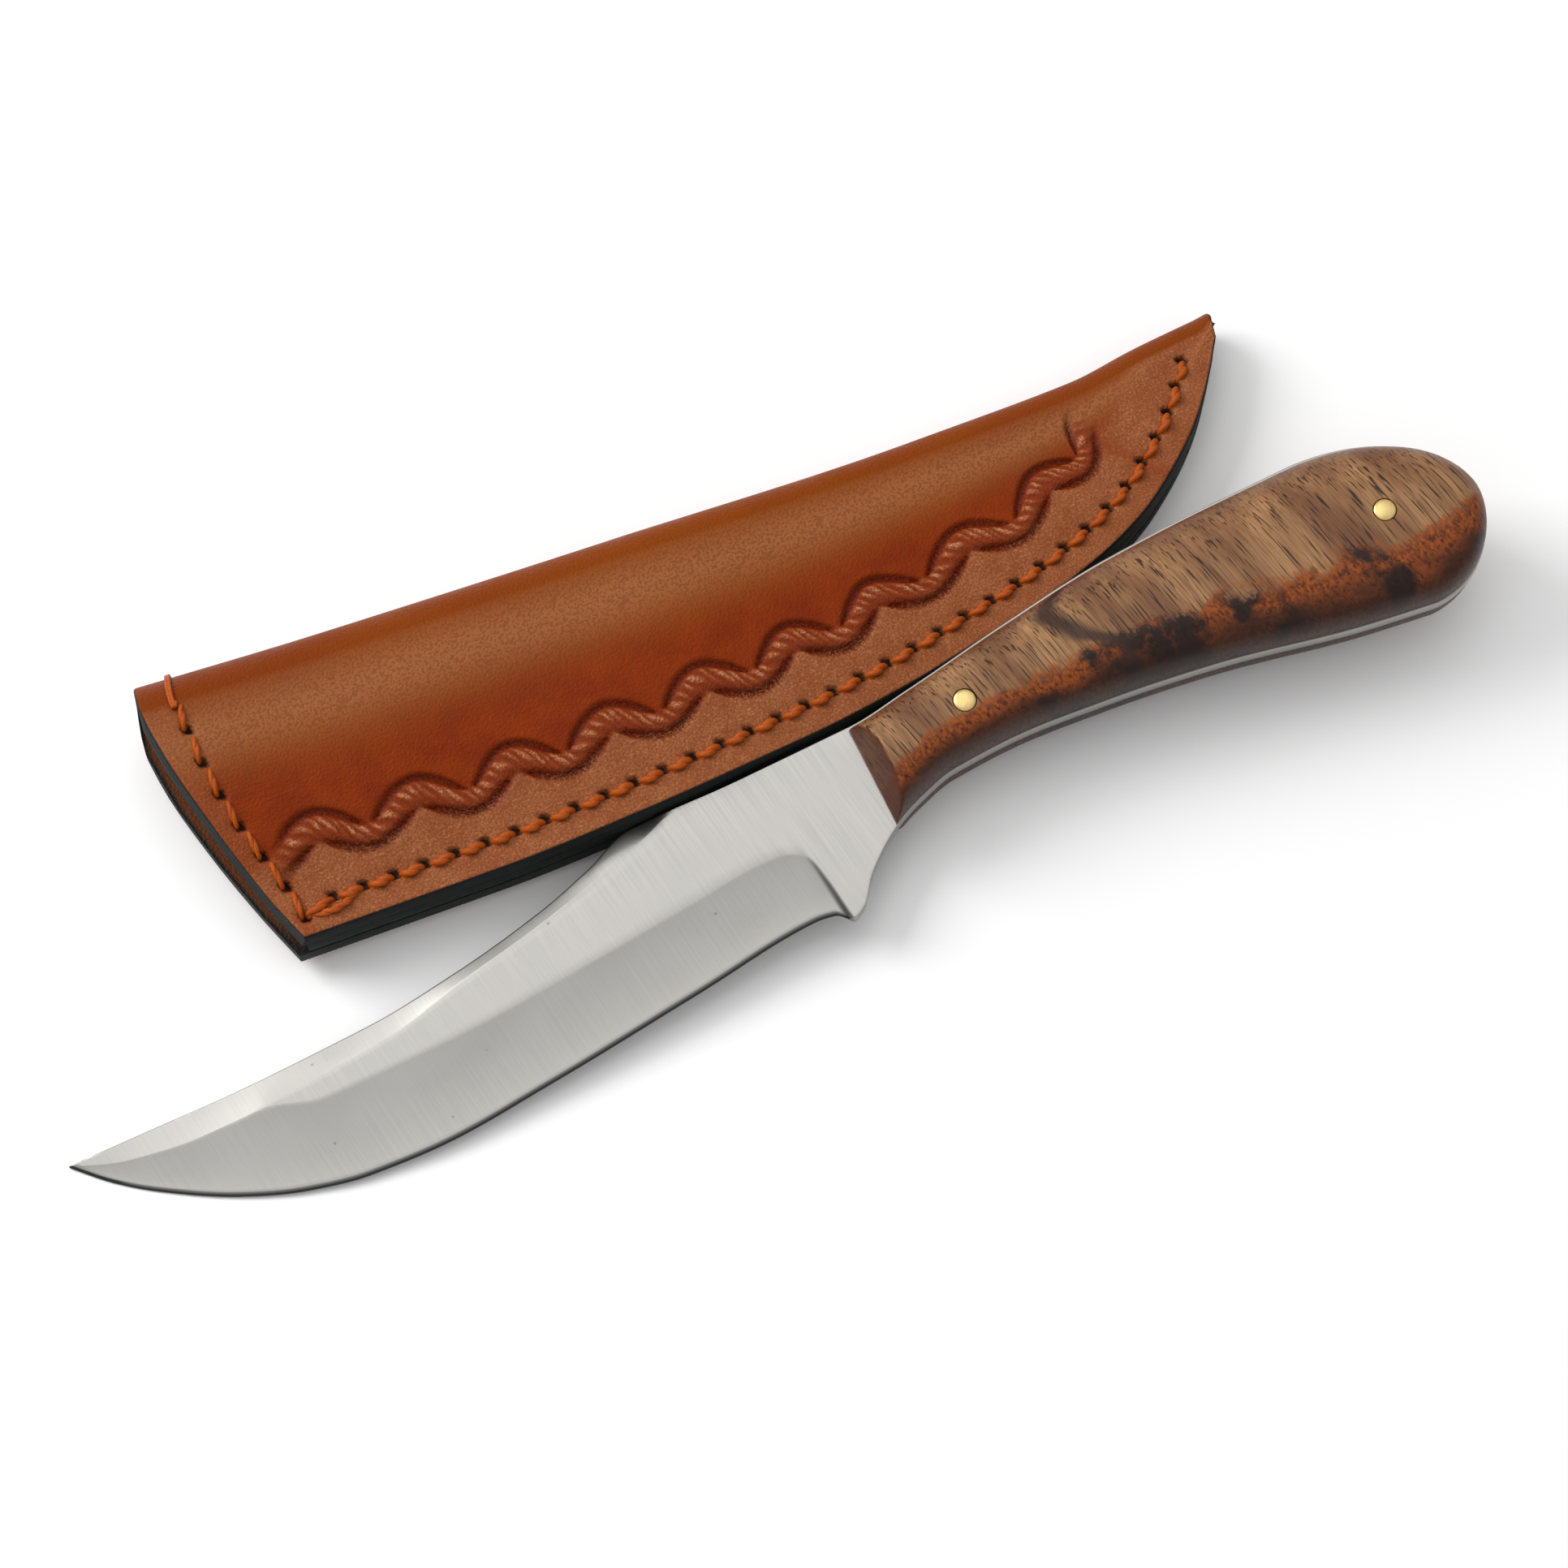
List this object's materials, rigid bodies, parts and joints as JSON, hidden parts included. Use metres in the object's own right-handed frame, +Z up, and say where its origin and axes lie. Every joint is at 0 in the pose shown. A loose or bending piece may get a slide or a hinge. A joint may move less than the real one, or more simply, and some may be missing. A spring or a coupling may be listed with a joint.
{
  "type": "sheath knife with leather sheath",
  "caption": "Full-tang skinning knife with wood scales, lying beside its stitched and tooled leather pouch sheath.",
  "frame": {"origin": "on the surface that the pair lies on, under the middle of the pair's box", "axes": "+X along the sheath's fold from its mouth to its tip, +Z up out of the surface"},
  "size_m": [0.2118, 0.0782, 0.0219],
  "materials": {
    "steel": "satin ground steel",
    "wood": "oiled and buffed, satin gloss",
    "brass": "sanded flush, satin",
    "leather": "vegetable tanned, tooled, dyed and waxed",
    "leather_edge": "black dyed and burnished cut edge",
    "thread": "waxed cord"
  },
  "bodies": {
    "sheath": {"sheath_body": "leather", "welt": "leather_edge", "belt_loop": "leather", "edge_thread_front": "thread", "edge_thread_back": "thread", "mouth_thread": "thread", "loop_thread_upper": "thread", "loop_thread_lower": "thread"},
    "knife": {"blade": "steel", "left_scale": "wood", "right_scale": "wood", "front_pin": "brass", "rear_pin": "brass"}
  },
  "joints": [
    {"name": "knife_lift", "type": "slide", "parent": "sheath", "child": "knife", "axis": [0, 0, 1], "range_m": [0, 0.08]}
  ]
}
